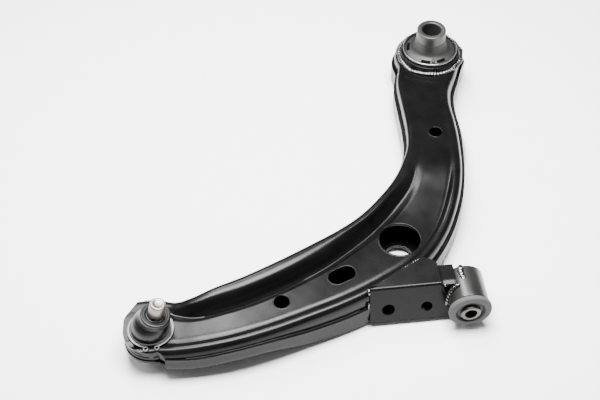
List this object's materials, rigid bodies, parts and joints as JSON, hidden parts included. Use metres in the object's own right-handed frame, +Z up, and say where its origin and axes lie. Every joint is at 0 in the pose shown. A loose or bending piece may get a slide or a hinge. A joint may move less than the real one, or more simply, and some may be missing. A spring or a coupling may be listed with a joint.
{
  "type": "control arm",
  "caption": "L-shaped pressed steel control arm with an upright ball joint at the nose, a horizontal rubber bush at the elbow and a vertical rubber bush at the far end",
  "frame": {"origin": "middle of the front bush bore, on its axis", "axes": "+Y along the front bush bore towards the rear bush, +Z up along the rear bush bore, -X across the car towards the ball joint"},
  "size_m": [0.4234, 0.4489, 0.085],
  "materials": {
    "upper_shell": "gloss black electrocoat",
    "lower_shell": "gloss black electrocoat",
    "weld": "painted weld bead",
    "frame_parts": "gloss black electrocoat",
    "housing": "satin black phosphate",
    "cap": "pressed steel",
    "seat": "acetal liner",
    "snap_ring": "spring steel",
    "boot": "matte rubber",
    "ring": "spring wire",
    "stud": "bright zinc plate",
    "bush_shell": "drawn steel",
    "bush_rubber": "matte rubber",
    "bush_sleeve": "turned steel",
    "rear_shell": "bright pressed steel",
    "rear_sleeve": "turned steel"
  },
  "bodies": {
    "arm": {"upper_shell": "upper_shell", "lower_shell": "lower_shell", "seam_weld_inner": "weld", "seam_weld_outer": "weld", "nose_collar": "frame_parts", "bush_bracket": "frame_parts", "bracket_weld": "weld", "bush_tube": "frame_parts", "tube_weld": "weld", "rear_collar": "frame_parts", "rear_collar_weld": "weld", "joint_housing": "housing", "housing_cap": "cap", "ball_seat": "seat", "snap_ring": "snap_ring", "front_bush_shell": "bush_shell", "front_bush_rubber": "bush_rubber", "rear_bush_shell": "rear_shell", "rear_bush_rubber": "bush_rubber"},
    "stud_swing": {"dust_boot": "boot"},
    "stud_tilt": {"boot_neck_ring": "ring"},
    "stud": {"ball_stud": "stud"},
    "front_sleeve": {"front_bush_sleeve": "bush_sleeve"},
    "rear_sleeve": {"rear_bush_sleeve": "rear_sleeve"}
  },
  "joints": [
    {"name": "stud_lean_sideways", "type": "hinge", "parent": "arm", "child": "stud_swing", "pos_m": [-0.325, -0.015, 0.003], "axis": [0, 1, 0], "range_deg": [-33, 7], "deforming": ["dust_boot"]},
    {"name": "stud_lean_lengthways", "type": "hinge", "parent": "stud_swing", "child": "stud_tilt", "pos_m": [-0.325, -0.015, 0.003], "axis": [0.9744, 0, -0.225], "range_deg": [-20, 20], "deforming": ["dust_boot"]},
    {"name": "stud_spin", "type": "hinge", "parent": "stud_tilt", "child": "stud", "pos_m": [-0.325, -0.015, 0.003], "axis": [0.225, 0, 0.9744], "continuous": true},
    {"name": "front_bush_twist", "type": "hinge", "parent": "arm", "child": "front_sleeve", "pos_m": [0, 0, 0], "axis": [0, 1, 0], "range_deg": [-25, 25], "stiffness_Nm_per_rad": 30},
    {"name": "rear_bush_tilt", "type": "hinge", "parent": "arm", "child": "rear_sleeve", "pos_m": [0.025, 0.351, 0.008], "axis": [0, 1, 0], "range_deg": [-12, 12], "stiffness_Nm_per_rad": 60, "deforming": ["rear_bush_rubber"]}
  ]
}
